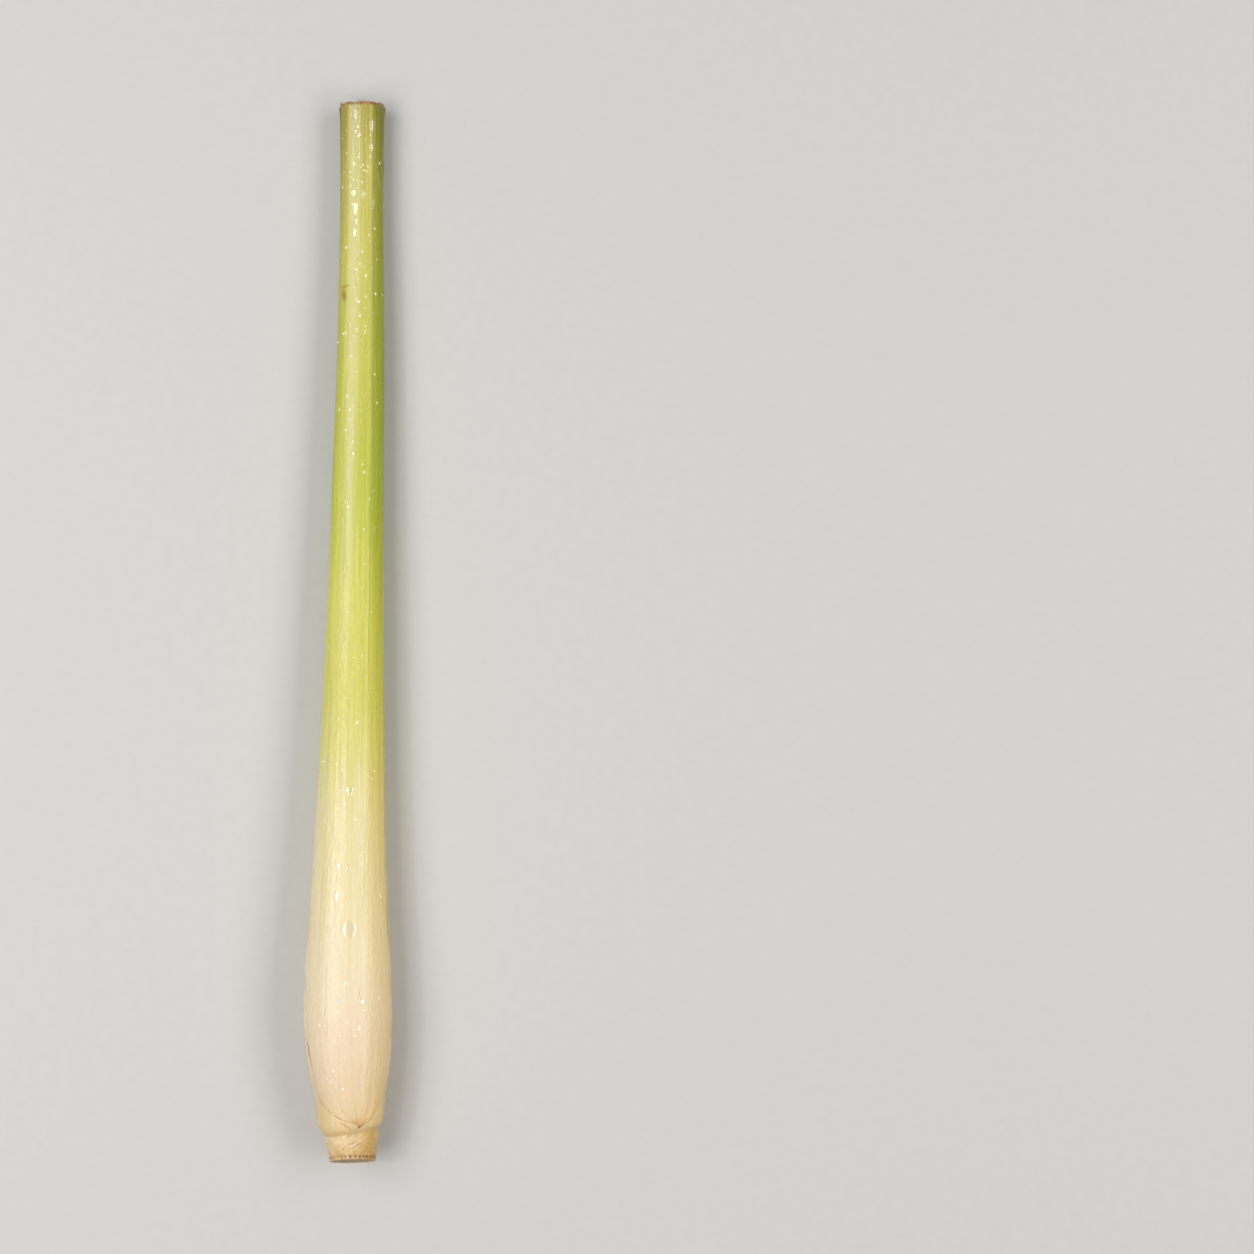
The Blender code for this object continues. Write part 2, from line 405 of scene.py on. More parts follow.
def make_sheet(name, along, radius, angle, marks):
    """A closed sheet; the rows form a loop that starts and ends at the foot of the leaf."""
    rows, columns = along.shape
    index = np.arange(rows * columns).reshape(rows, columns)
    nearer = np.roll(index, -1, axis=0)
    quads = np.stack([index[:, :-1], index[:, 1:], nearer[:, 1:], nearer[:, :-1]], axis=-1)
    faces = quads.reshape(-1, 4).tolist()
    for column in (0, columns - 1):
        faces += stitch(index[:, column].tolist(), along[:, column])
    marks = {"along": along, "around": angle, **marks}
    return make_mesh(name, to_world(along, radius, angle), faces, marks)


def run(start, *stretches):
    """Row places from the start on, through (end, spacing) stretches."""
    parts = []
    for end, spacing in stretches:
        parts.append(np.arange(start, end - spacing / 2, spacing))
        start = end
    return np.concatenate([*parts, [start]])


def up_and_over(outer_rows, inner_rows, columns, rim=(0.2, 0.5, 0.8)):
    """Places and depths in the wall: up the outer skin, over the rim and down the inner skin."""
    places = np.concatenate([outer_rows, [outer_rows[-1]] * len(rim), inner_rows[::-1]])
    depth = np.concatenate([np.zeros(len(outer_rows)), rim, np.ones(len(inner_rows))])
    return np.repeat(places[:, None], columns, axis=1), depth[:, None]


# %% [markdown]
# The rolled sheaths share one section. A sheath is thick along its rib and thin at its margins, and one
# margin tucks under the other on the far side from the rib. Each next leaf has its rib on the other side.
# A knife leaves the top edge ragged and a little domed, and the edge then dries.

# %% The section of a rolled sheath
WALL_SHARE = 0.185
OVERLAP = 48
FADE = 40
LAP_START = 180 - OVERLAP / 2
LEAF_GAP = 0.1
SET_IN = 0.2
FOOT_END = 24


def rolled_section(from_rib, radius):
    """Outer and inner radius of a rolled sheath; from_rib is negative on the side that tucks under."""
    wall = WALL_SHARE * radius
    depth = np.maximum(wall, 0.7 * wall + LEAF_GAP)
    away = np.abs(from_rib)
    faded = step_up(away, LAP_START - FADE, LAP_START)
    into_lap = np.clip((away - LAP_START) / OVERLAP, 0, 1)
    thickness = wall * (1 - 0.5 * faded - 0.32 * into_lap)
    tucked_inner = radius - (wall + (depth - wall) * faded)
    tucked_outer = tucked_inner + wall + (thickness - wall) * faded
    lapping = from_rib > 0
    return np.where(lapping, radius, tucked_outer), np.where(lapping, radius - thickness, tucked_inner)


def leaf_radius(layer, along):
    """Outer radius of a rolled leaf, counted inwards from 0 for the one that shows in front."""
    radius = silhouette(along) - SET_IN
    for _ in range(layer):
        radius = radius * (1 - WALL_SHARE) - LEAF_GAP
    return radius


def cut_edge(along, depth, top, reach, height):
    """How near the cut is, from 0 to 1, and how far the wall's middle stands up there."""
    near_top = step_up(along, top - reach, top) ** 2
    return near_top, height * (0.25 - (depth - 0.5) ** 2) * near_top


def dried_rim(along, angle, top, depth, layer):
    """Where the cut edge has dried, with a wandering lower border."""
    return step_up(along, top - depth + 0.4 * uneven(angle / 5, 0.3, layer), top - 0.3)


def roll_up(outer_rows, from_rib, layer, rib_side, edge_noise):
    """Places along, radii, angles and depths of a whole rolled leaf."""
    top = outer_rows[-1]
    inner_rows = run(outer_rows[0], (FOOT_END, 3.0), (top - 3, 8.0), (top, 0.5))
    along, depth = up_and_over(outer_rows, inner_rows, len(from_rib))
    spread = np.broadcast_to(from_rib, along.shape)
    outer, inner = rolled_section(spread, leaf_radius(layer, along))
    radius = outer + (inner - outer) * depth
    near_top, dome = cut_edge(along, depth, top, 4, 0.16)
    ragged = near_top * (edge_noise(spread + rib_side) + 0.07 * uneven(spread / 1.3, depth * 5, 3))
    return along + ragged + dome, radius, spread + rib_side, depth


print("leaf radii at the top cut:", [round(float(leaf_radius(k, TOP_CUT)), 2) for k in range(4)])

# %% [markdown]
# The second sheath is the one that shows along the whole front. Fine ribs run its full length, it has a
# few long furrows where it was folded inside the older leaf, and at its foot the veins draw together into
# a small fan of wrinkles at the point it grows from. All of that is shape; the colour follows later.

# %% The front sheath: its surface
FAN_ANGLE, FAN_PLACE = 19, 7.3
FRONT_FOOT = 5.8
RIB_SPACING, RIB_HEIGHT = 3.6, 0.011
# route of (along, angle) points, width, depth
FURROWS = (
    (((50, 4), (70, -1), (87, -5), (112, -6)), 0.15, 0.03),
    (((44, 30), (64, 29)), 0.14, 0.03),
    (((108, -34), (150, -33)), 0.16, 0.03),
    (((30, 62), (96, 66)), 0.2, 0.025),
    (((120, 38), (176, 41)), 0.14, 0.03),
    (((24, -40), (60, -43)), 0.2, 0.025),
)
# along, angle, length, slant in degrees, height
SCRATCHES = (
    (181.2, -4, 1.9, 62, 0.045), (180.4, 36, 2.0, -58, 0.04), (142.6, -20, 1.5, 58, 0.035),
    (141.5, -18, 1.2, 54, 0.03), (137.6, -20, 1.2, 60, 0.03), (184.6, 58, 2.4, -20, 0.04),
    (150.2, 12, 0.9, 40, 0.025), (118.5, 44, 1.1, -42, 0.025), (97.8, -8, 0.8, 35, 0.025),
)
SCAR = (162.6, -45)
SHOULDER_ANGLE = 31.5


def with_fan(along, angle):
    """The angle a vein keeps: veins crowd towards one point at the foot."""
    crowding = 1.5 * np.exp(-np.clip(along - FAN_PLACE, -1, None) / 2.4)
    return FAN_ANGLE + (angle - FAN_ANGLE) * (1 + crowding)


def ribs(angle):
    """The fine ribs that run the whole length of a leaf."""
    return RIB_HEIGHT * np.cos(2 * math.pi * angle / RIB_SPACING)


def front_marks(along, angle):
    """Furrow depth, bruising and scratch shape on the front sheath."""
    reach = mm_per_degree(along)
    fold = np.zeros_like(along)
    for route, width, depth in FURROWS:
        middle = smooth_curve(route)(along)
        start, end = route[0][0], route[-1][0]
        fade = step_up(along, start, start + 8) * (1 - step_up(along, end - 8, end))
        fold += depth * fade * bump_at((angle - middle) * reach, width)
    scratch = np.zeros_like(along)
    for place, middle, length, slant, depth in SCRATCHES:
        turn = math.radians(slant)
        across, down = (angle - middle) * reach, along - place
        lengthwise = across * math.sin(turn) + down * math.cos(turn)
        sideways = across * math.cos(turn) - down * math.sin(turn)
        scratch += depth * spot_at(sideways, lengthwise, 0.14, length)
    place, middle = SCAR
    across, down = (angle - middle) * reach, along - place
    torn = spot_at(across + 0.2 * down, down, 0.72 + 0.2 * uneven(0.5, down / 0.7, 14), 1.2)
    torn = np.maximum(torn, 0.9 * spot_at(across - 0.1, down - 1.7 - 0.2 * across, 1.3, 0.28))
    return fold, scratch, torn


def shoulder(along, angle):
    """The long blunt edge right of the middle, where the sheath was folded in the bud."""
    strength = 0.13 * step_up(along, 62, 105)
    return strength * np.exp(-np.abs(angle - SHOULDER_ANGLE - 2 * uneven(0.5, along / 40, 12)) / 13)


def front_surface(along, angle):
    """How far the front sheath's skin stands off its smooth shape."""
    vein = with_fan(along, angle)
    shape = body_shape(along, angle) + shoulder(along, angle)
    grain = ribs(vein) * (0.6 + 0.4 * uneven(vein / 9, along / 30, 2))
    grain += 0.012 * uneven(vein / 1.5, along / 26, 4) + 0.006 * uneven(vein / 0.8, along / 12, 5)
    wrinkles = 0.13 * uneven(vein / 8, along / 9, 6) * np.exp(-(((along - 7.5) / 4.2) ** 2))
    wrinkles *= bump_at(angle - FAN_ANGLE, 60)
    fold, scratch, torn = front_marks(along, angle)
    foot_drop = 0.5 * np.clip((8.2 - along) / 2.4, 0, 1) ** 1.7
    across = (angle - 6) * 0.1
    pocket_rim = 7.25 - 0.16 * across
    pocket = 0.2 * step_up(pocket_rim - along, 0, 0.35) * bump_at(across, 2.6)
    pocket -= 0.22 * spot_at(across - 0.4, along - 6.75, 0.45, 0.28)
    pocket -= 0.18 * spot_at(across - 1.1, along - 6.35, 0.4, 0.25)
    return shape + grain + wrinkles - fold + 0.5 * scratch - 0.12 * torn - foot_drop - pocket


# %% The front sheath: its mesh
front_rows = run(
    FRONT_FOOT, (13.5, 0.3), (30, 0.75), (160, 1.3), (166, 0.3), (194, 1.3), (TOP_CUT, 0.35)
)
front_angles = np.concatenate([
    np.arange(-204, -106, 4.0), np.arange(-106, 106, 0.65), np.arange(106, 200.5, 4.0), [204.0],
])


def front_edge(angle):
    return 0.16 * uneven(angle / 16, 0.5, 8) + 0.09 * uneven(angle / 4, 0.5, 9) - 0.05


along, radius, angle, depth = roll_up(front_rows, front_angles, 0, 0, front_edge)
radius = radius + front_surface(along, angle) * (1 - depth)
# Stain round the fan of veins; the line along the pocket's rim and the sunken pocket below it are painted
# shade.
stain_and_shade = 0.8 * spot_at(angle - FAN_ANGLE, along - FAN_PLACE, 17, 1.1)
stain_and_shade += 0.6 * spot_at(angle - 6, along - 7.2 + 0.016 * (angle - 6), 26, 0.18)
stain_and_shade += 0.35 * step_up(7.2 - along, 0, 0.5)
fold, scratch, torn = front_marks(along, angle)
on_skin = 1 - np.broadcast_to(depth, along.shape)
# The fold mark also serves the finish, which paints shade into the furrows.
front_sheath = make_sheet("front_sheath", along, radius, angle, {
    "around": with_fan(along, angle), "stain_and_shade": np.clip(stain_and_shade, 0, 1) * on_skin,
    "fold": fold / 0.05 * on_skin, "scratch": scratch / 0.04 * on_skin, "torn": torn * on_skin,
    "dry": dried_rim(along, angle, TOP_CUT, 0.85, 10),
})

# %% [markdown]
# The outer sheath hugs the back and leaves the front open. Its margins are as thin as paper, and they come
# down to cross at the foot: the right one lies over the left one and stands up as a small ridge, and a
# short fold runs under the left one. The foot rounds in to the stub, a little higher on the right. Its
# margins are stained; the groove just above its foot edge and the short fold carry painted shade, and the
# ridge a painted highlight. The sheath is pressed flat where the stalk lies on it.

# %% The outer sheath: its surface
OUTER_FOOT = 4.2
EDGE_THICKNESS = 0.09
outer_top = TOP_CUT - 0.35
stem_outline = smooth_curve((
    (0, 4.4), (1.3, 4.5), (2.6, 4.72), (4.4, 5.02), (5.9, 5.06), (6.5, 4.7), (6.9, 3.95), (10.5, 3.7),
    (14, 2.9), (17.5, 1.7), (19.0, 0.7),
))
foot_lift = smooth_curve((
    (-30, -0.2), (-16, 0), (-4, 0.35), (8, 0.95), (20, 1.3), (45, 1.7), (90, 1.9), (180, 0.9), (265, 0.15),
    (300, 0.25), (348, 0.9), (380, 1.3),
))


def margin_wander(along, layer):
    """Margins never run straight: degrees by which one strays."""
    return 1.6 * uneven(0.5, along / 13, layer) + 0.5 * uneven(0.5, along / 3.1, layer + 1)


def outer_spread(along, share):
    """The angle of each column, from the right margin round the back to the left margin."""
    away_from_foot = step_up(along, 8, 18)
    start = right_margin(along) + margin_wander(along, 20) * away_from_foot
    start += 7 * bump_at(along - 190.5, 1.6) - 3 * bump_at(along - 187.5, 1.2)
    end = 360 - left_margin(along) + margin_wander(along, 24) * away_from_foot
    return start + (end - start) * share


def foot_shift(along, angle):
    """How far the foot edge is pushed up, dying away along the sheath."""
    return foot_lift(angle) * np.exp(-(along - OUTER_FOOT) / 2.6)


def pocket_fold(along, angle):
    """Distance from the short fold under the left margin, and where round the stalk it runs."""
    turned = angle - 360 * (angle > 180)
    line = along + foot_shift(along, angle) - 7.16 + 0.07 * (turned + 8.7)
    return line, step_up(turned, -16, -6) * (1 - step_up(turned, 6, 14))


def from_margins(along, angle, share):
    """Distances from the right margin and from the left one, in millimetres."""
    span = angle[:, -1:] - angle[:, :1]
    reach = mm_per_degree(along)
    return share * span * reach, (1 - share) * span * reach


def outer_skin(along, angle, share):
    """Outer radius and thickness of the outer sheath."""
    from_right, from_left = from_margins(along, angle, share)
    from_edge = np.minimum(from_right, from_left)
    swell = RIB_SWELL * step_up(90 - np.abs(angle - 180), 2, 85)
    thickness = EDGE_THICKNESS + 0.08 * (1 - np.exp(-from_edge / 0.8)) + swell
    radius = silhouette(along) - SET_IN + 0.02 + thickness
    radius += body_shape(along, angle)
    radius += ribs(angle) * step_up(from_edge, 0.3, 1.5)
    radius += 0.012 * uneven(angle / 1.6, along / 25, 32)
    lift = 0.05 * np.clip(uneven(0.5, along / 17, 33), 0, 1) * step_up(along, 16, 26)
    radius += lift * np.exp(-from_edge / 0.5)
    near_foot = 1 - step_up(along, 5.8, 9.5)
    radius += 0.05 * near_foot
    radius -= 0.16 * (1 - step_up(along, 5.6, 7.2)) * np.exp(-from_left / 1.5)
    radius += 0.34 * spot_at(angle - 283, along - 6.6, 52, 1.9)
    landing = stem_outline(np.minimum(along + foot_shift(along, angle), 5.9)) + 0.07
    rounding = np.clip(1 - (along - OUTER_FOOT) / 1.9, 0, 1) ** 1.7
    radius += (landing - radius) * rounding
    radius += (0.24 - 0.16 * rounding) * near_foot * bump_at(from_right - 0.2, 0.27)
    creases = uneven(angle / 9 + along * 0.5, along / 2.2, 34) * bump_at(along - 5.5, 2.6)
    line, window = pocket_fold(along, angle)
    radius += 0.05 * creases + (0.14 * bump_at(line - 0.5, 0.3) - 0.12 * bump_at(line, 0.14)) * window
    return radius, thickness


# %% The outer sheath: its mesh
outer_rows = run(OUTER_FOOT, (5.2, 0.12), (14, 0.3), (30, 0.8), (190, 1.3), (outer_top, 0.4))
inner_rows = run(OUTER_FOOT, (14, 0.9), (outer_top - 2, 9.0), (outer_top, 0.5))
share = 0.5 - 0.5 * np.cos(np.linspace(0, math.pi, 221))
along, depth = up_and_over(outer_rows, inner_rows, len(share), (0.3, 0.7))
share = np.broadcast_to(share, along.shape)
angle = outer_spread(along, share)
radius, thickness = outer_skin(along, angle, share)
radius = radius - thickness * depth
flat_at = silhouette(along) + RIB_SWELL - REST_FLAT / FLATNESS
below = -radius * np.cos(np.radians(angle))
pressed = (below > flat_at) & (depth == 0)
radius = np.where(pressed, radius * flat_at / np.maximum(below, 0.1), radius)

near_top = step_up(along, outer_top - 4, outer_top) ** 2
ragged = 0.18 * uneven(angle / 13, 0.5, 35) + 0.08 * uneven(angle / 3, 0.5, 36)
curl = bump_at(angle - right_margin(along) - 9, 9)
curl += 0.7 * bump_at(360 - left_margin(along) - angle - 4, 5)
radius = radius + 0.3 * curl * near_top

from_right, from_left = from_margins(along, angle, share)
near_foot = 1 - step_up(along, 8, 14)
thin = np.exp(-np.minimum(from_right, from_left) / 0.45)
# Painted highlight along the ridge of the right margin, carried in the pale thin-margin mark.
margin_ridge_highlight = near_foot * bump_at(from_right - 0.26, 0.26)
line, window = pocket_fold(along, angle)
# Stains along both margins; painted shade in the groove just above the foot edge and along the fold.
stain_and_shade = np.maximum.reduce([
    near_foot * 0.95 * np.exp(-from_left / 0.19),
    near_foot * 0.5 * np.exp(-from_right / 0.06),
    0.5 * bump_at(along - OUTER_FOOT - 0.35, 0.7) * (1 - bump_at(from_right, 1.3)),
    0.8 * bump_at(line, 0.15) * window,
])
placed = along + ragged * near_top + foot_shift(along, angle)
outer_sheath = make_sheet("outer_sheath", placed, radius, angle, {
    "dry": dried_rim(along, angle, outer_top, 0.8, 37), "thin": np.maximum(thin, 2 * margin_ridge_highlight),
    "stain_and_shade": stain_and_shade,
})

# %% [markdown]
# The leaves inside show only as rings at the top cut, yet each is a whole rolled sheath, so they use the
# same section with plainer skins. Each is cut a hair shorter or longer, as a knife leaves them.

# %% The inner leaves
# name, layer, side of the rib, foot, how far past the top cut
INNER_LEAVES = (
    ("third_sheath", 1, 180, 10.6, -0.28),
    ("fourth_sheath", 2, 0, 14.2, 0.06),
)
leaf_angles = np.linspace(-204, 204, 189)


def make_inner_leaf(name, layer, rib_side, foot, past_cut):
    top = TOP_CUT + past_cut
    rows = run(foot, (FOOT_END, 1.7), (top - 4, 6.0), (top, 0.5))

    def edge(angle):
        return 0.1 * uneven(angle / 11, 0.5, 40 + layer) + 0.05 * uneven(angle / 3, 0.5, 44 + layer)

    along, radius, angle, depth = roll_up(rows, leaf_angles, layer, rib_side, edge)
    radius = radius + 0.03 * uneven(angle / 15, along / 30, 46 + layer) * (1 - depth)
    radius = radius - 0.6 * np.clip((foot + 2 - along) / 2, 0, 1) ** 2
    dry = step_up(along, top - 0.35, top)
    blush = np.broadcast_to(1 - np.abs(depth - 0.35), along.shape)
    return make_sheet(name, along, radius, angle, {"dry": dry, "blush": blush})


third_sheath, fourth_sheath = [make_inner_leaf(*leaf) for leaf in INNER_LEAVES]

# %% [markdown]
# The heart is the youngest leaves, still rolled as tight as a scroll. A scroll is a sheet whose radius
# shrinks as it turns, so the same sheet maker builds it, with its turns a fine gap apart.

# %% The heart
HEART_FOOT, HEART_TOP = 19.6, TOP_CUT + 0.2
HEART_TURNS, HEART_START = 2.35, 200
WALL_OF_PITCH = 0.84
turn = np.linspace(0, 360 * HEART_TURNS, 200)
rows = run(HEART_FOOT, (FOOT_END, 1.4), (HEART_TOP - 3, 7.0), (HEART_TOP, 0.5))
along, depth = up_and_over(rows, rows, len(turn))
turned = np.broadcast_to(turn, along.shape) / 360
outside = leaf_radius(3, along) - 0.02
pitch = outside / (HEART_TURNS + 0.45)
full = pitch * WALL_OF_PITCH
tapered = step_up(turned, 0, 0.12) * (1 - step_up(turned, HEART_TURNS - 0.3, HEART_TURNS))
thickness = full * (0.3 + 0.7 * tapered)
radius = outside - pitch * turned - (full - thickness) * 0.3 - thickness * depth
radius *= 1 - 0.45 * np.clip((HEART_FOOT + 2.5 - along) / 2.5, 0, 1) ** 1.5
near_top, dome = cut_edge(along, depth, HEART_TOP, 3, 0.1)
ragged = near_top * (0.09 * uneven(turn / 17, 0.5, 50) + 0.16 * turned / HEART_TURNS)
angle = np.broadcast_to(HEART_START + turn, along.shape)
heart = make_sheet("heart", along + ragged + dome, radius, angle, {
    "dry": step_up(along, HEART_TOP - 0.3, HEART_TOP),
    "blush": np.broadcast_to(0.55 - 0.4 * turned / HEART_TURNS, along.shape),
})

# %% [markdown]
# The stem is the only part that isn't a leaf. Its stub sticks out below the sheaths and ends in a slanting
# knife cut. Scars of leaves long gone cross the stub as slanting creases, a ring of small brown pits marks
# where roots began, and the cut shows a golden rind round a darker pith with the ends of its vessels.

# %% The stem: its side
CUT_SLOPE, CUT_SKEW, CUT_BACK = math.tan(math.radians(14)), math.tan(math.radians(2)), 0.46
ROOT_PITS, PIT_RADIUS = 32, 4.4
# along, slope, width, depth, middle across the front, reach to either side
STUB_CREASES = (
    (3.95, 0.85, 0.22, 0.07, -1.2, 0.8), (4.1, 0.7, 0.16, 0.06, 1.6, 1.3),
    (2.5, 0.5, 0.17, 0.1, 1.2, 2.3), (3.45, 0.2, 0.12, 0.07, 0.2, 0.7),
    (3.0, 0.7, 0.14, 0.045, 2.6, 1.8), (4.6, 0.6, 0.13, 0.04, -2.8, 1.5),
    (1.7, 0.4, 0.13, 0.04, -0.6, 2.5),
)


def stub_relief(along, angle):
    """Relief of the stub: height, and how strong pits, painted crease shade, painted ridge highlight and
    right-side shade are.
    """
    facing = (np.mod(angle + 180, 360) - 180) * mm_per_degree(along)
    height = 0.05 * uneven(angle / 24, along / 2.5, 60, wrap=15)
    height += 0.018 * uneven(angle / 5, along / 0.8, 61, wrap=72)
    painted_crease_shade, painted_ridge_highlight = np.zeros_like(along), np.zeros_like(along)
    for place, slope, width, depth, middle, reach in STUB_CREASES:
        line = along - place - slope * facing + 0.25 * uneven(angle / 30, place, 62, wrap=12)
        in_front = bump_at(facing - middle, reach) * step_up(along, 0.9, 1.8)
        groove = bump_at(line + 0.1, width) * in_front
        raised = bump_at(line - 0.25, width) * in_front
        height += depth * (1.4 * raised - 0.8 * groove)
        # Darker grooves are painted shade.
        painted_crease_shade = np.maximum(painted_crease_shade, depth / 0.1 * groove)
        # The raised lines get a painted highlight.
        painted_ridge_highlight = np.maximum(painted_ridge_highlight, depth / 0.1 * raised)
    spacing = 360 / ROOT_PITS
    nth = np.round(angle / spacing)
    stray = uneven(nth % ROOT_PITS * 0.73, 0.5, 63)
    off = (angle - (nth + 0.32 * stray) * spacing) * PIT_RADIUS * math.pi / 180
    pits = spot_at(off, along - 0.5 - 0.05 * stray, 0.19 + 0.05 * stray, 0.24)
    pits *= 0.65 + 0.35 * uneven(nth % ROOT_PITS * 0.31, 0.5, 64)
    pit_line = (0.33 + 0.1 * uneven(angle / 6, 0.5, 69, wrap=60)) * bump_at(along - 0.74, 0.14)
    pits = np.maximum(pits, pit_line)
    spot = 0.35 * spot_at(facing + 1.6, along - 2.35, 0.26, 0.22)
    # The last value darkens the right side, away from the broad lamp, as painted shade.
    return height - 0.1 * pits, np.clip(pits + spot, 0, 1), painted_crease_shade, painted_ridge_highlight, step_up(facing, -0.6, 4.2)


# %% The stem: its mesh
sides = np.linspace(0, 360, 257)[:-1]
side_rows = run(0.3, (7.4, 0.1), (19.0, 0.7))
# share of the radius, how deep it is sunk
rind = [(1.0, 0.12), (0.975, 0.02), (0.95, 0.0), (0.925, 0.03), (0.905, 0.13)]
pith = [(share, 0.17) for share in np.linspace(0.88, 0.03, 26)]
face_rows = np.array(rind + pith)[::-1]
share_out = np.concatenate([face_rows[:, 0], np.ones(len(side_rows))])[:, None]
sunk = np.concatenate([face_rows[:, 1], np.zeros(len(side_rows))])[:, None]
places = np.concatenate([np.zeros(len(face_rows)), side_rows])[:, None]
angle = np.broadcast_to(sides, (len(places), len(sides)))
along = np.broadcast_to(places, angle.shape)
relief, pits, painted_crease_shade, painted_ridge_highlight, right_side_shade = stub_relief(along, angle)
on_face = np.broadcast_to((places == 0) & (share_out < 1), angle.shape)
radius = stem_outline(along) * share_out + np.where(on_face, 0, relief)
notches = 0.07 * uneven(angle / 3, 0.5, 65, wrap=120) + 0.05 * uneven(angle / 1.8, 0.5, 66, wrap=200)
radius = radius + notches * bump_at(share_out - 0.96, 0.05) * (along < 0.2)
across = radius * np.sin(np.radians(angle))
height = radius * np.cos(np.radians(angle)) * FLATNESS
slant = height * CUT_SLOPE + across * CUT_SKEW - CUT_BACK
rough = 0.035 * uneven(across * 3.1, height * 3.1, 67) + 0.03 * uneven(across * 7, height * 7, 68)
rough = rough * (share_out < 0.9)
placed = along + sunk + np.where(on_face, rough, 0) + slant * (1 - step_up(along, 0.2, 3.2))
stem_stub = make_mesh("stem_stub", to_world(placed, radius, angle), tube_faces(*angle.shape), {
    "along": along, "around": angle, "pit": pits * (1 - on_face), "painted_crease_shade": painted_crease_shade * (1 - on_face),
    "painted_ridge_highlight": painted_ridge_highlight * (1 - on_face), "ring": np.where(on_face, share_out, 2.0), "right_side_shade": right_side_shade,
})

# %% [markdown]
# A knife never leaves a clean rim on a fibrous leaf. Short dried fibres stand up from the top cut: a tuft in
# the middle of the front, one long pale one at the left edge, and odd ones all the way round.

# %% Frayed fibres at the top cut
FIBRE_SEED = 11
ROOTED = 0.5
fibre_dice = np.random.default_rng(FIBRE_SEED)


def strand(angle, radius, length, thick, lean, swing):
    """Points of one tapered fibre, four-sided, from inside the rim upwards."""
    steps = np.linspace(0, 1, 6)
    along = TOP_CUT - ROOTED + (length + ROOTED) * steps
    out = radius + lean * steps**2
    turn = angle + swing * steps**1.5
    width = thick * (1 - 0.75 * steps)
    spin = np.radians([0, 90, 180, 270])
    rows = np.repeat(along[:, None], 4, axis=1)
    outs = out[:, None] + width[:, None] * np.cos(spin)
    turns = turn[:, None] + np.degrees(width[:, None] * np.sin(spin) / out[:, None])
    return to_world(rows, outs, turns)


def join_tubes(name, tubes, shades=()):
    """One piece from many small closed tubes, each with a shade of its own if shades are given."""
    points, faces = [], []
    for tube in tubes:
        faces += tube_faces(*tube.shape[:2], sum(len(part) for part in points))
        points.append(tube.reshape(-1, 3))
    marks = {"shade": np.repeat(shades, [len(part) for part in points])} if len(shades) else {}
    return make_mesh(name, np.concatenate(points), faces, marks, sharp=70)


def fibre_set(count, middle, spread, length, thick, lean):
    """A loose group of fibres round one angle; each differs a little from the next."""
    made = []
    for _ in range(count):
        angle = middle + spread * fibre_dice.uniform(-1, 1)
        rim = float(leaf_radius(0, TOP_CUT)) - fibre_dice.uniform(0.1, 0.6)
        size = fibre_dice.uniform(0.5, 1.1)
        made.append(strand(
            angle, rim, length * size, thick * size, lean * fibre_dice.uniform(-0.3, 1),
            fibre_dice.uniform(-7, 7),
        ))
    return made


fibres = fibre_set(9, 2, 9, 0.5, 0.14, 0.2) + fibre_set(7, 33, 12, 0.35, 0.13, 0.2)
fibres += fibre_set(7, -35, 16, 0.35, 0.12, 0.2) + fibre_set(30, 180, 130, 0.4, 0.1, 0.2)
fibres.append(strand(-81, 4.05, 0.75, 0.2, 0.1, -4))
fibres.append(strand(-70, 3.9, 0.4, 0.15, 0.1, 6))
top_fibres = join_tubes("top_fibres", fibres, fibre_dice.uniform(0, 1, len(fibres)))

# %% [markdown]
# The stalk has been rinsed: small drops cling to it. Each is a low cap of water that follows the skin, with
# its edge just under the surface. Large ones are flat in the middle, as drops on a waxy leaf are. Mist lies
# between them, densest along two wet lines, and it is kept off the torn scar so that the scar shows.

# %% Drops of water
# along, angle, half length, half width, height, how pointed the lower end is
DROPS = (
    (69.2, 2.5, 1.25, 0.8, 0.34, 0.55), (43.7, 6, 1.7, 1.5, 0.26, 0.1), (30.2, 24, 0.75, 0.7, 0.3, 0.1),
    (28.6, 27.5, 0.5, 0.5, 0.22, 0), (31.8, 21, 0.45, 0.42, 0.2, 0), (30.4, -6, 0.6, 0.55, 0.25, 0.1),
    (28.4, -8, 0.4, 0.35, 0.16, 0), (49.8, -14.5, 1.1, 0.6, 0.14, 0.3),
    (196.6, -15, 1.7, 0.62, 0.3, 0.4), (194.8, 30, 1.5, 0.58, 0.3, 0.3), (193, -2, 0.5, 0.42, 0.2, 0.2),
    (187, 18, 0.42, 0.38, 0.18, 0), (186, -28, 0.36, 0.32, 0.16, 0), (184, 8, 0.5, 0.4, 0.2, 0.2),
    (183, -12, 0.3, 0.28, 0.13, 0), (174, 22, 0.42, 0.36, 0.17, 0.1), (124, -18, 0.35, 0.3, 0.14, 0),
    (92.5, 14, 0.4, 0.34, 0.15, 0.1), (193.6, -13, 0.7, 0.5, 0.2, 0.2),
    (190.6, 29, 0.9, 0.45, 0.2, 0.3), (182, -19, 0.8, 0.6, 0.1, 0.2), (179, -14, 1.3, 0.62, 0.1, 0.35),
    (176.6, -10, 0.7, 0.4, 0.1, 0.2), (174.4, -15, 1, 0.5, 0.1, 0.3),
    (187.6, -18, 0.5, 0.42, 0.12, 0.1), (170.4, -8, 0.5, 0.35, 0.1, 0.2),
    (55.4, -12, 0.8, 0.55, 0.12, 0.2), (54.9, 3, 0.7, 0.45, 0.12, 0.3), (33.6, 2, 0.6, 0.4, 0.13, 0.2),
    (25.2, 20, 0.6, 0.35, 0.13, 0.2),
)
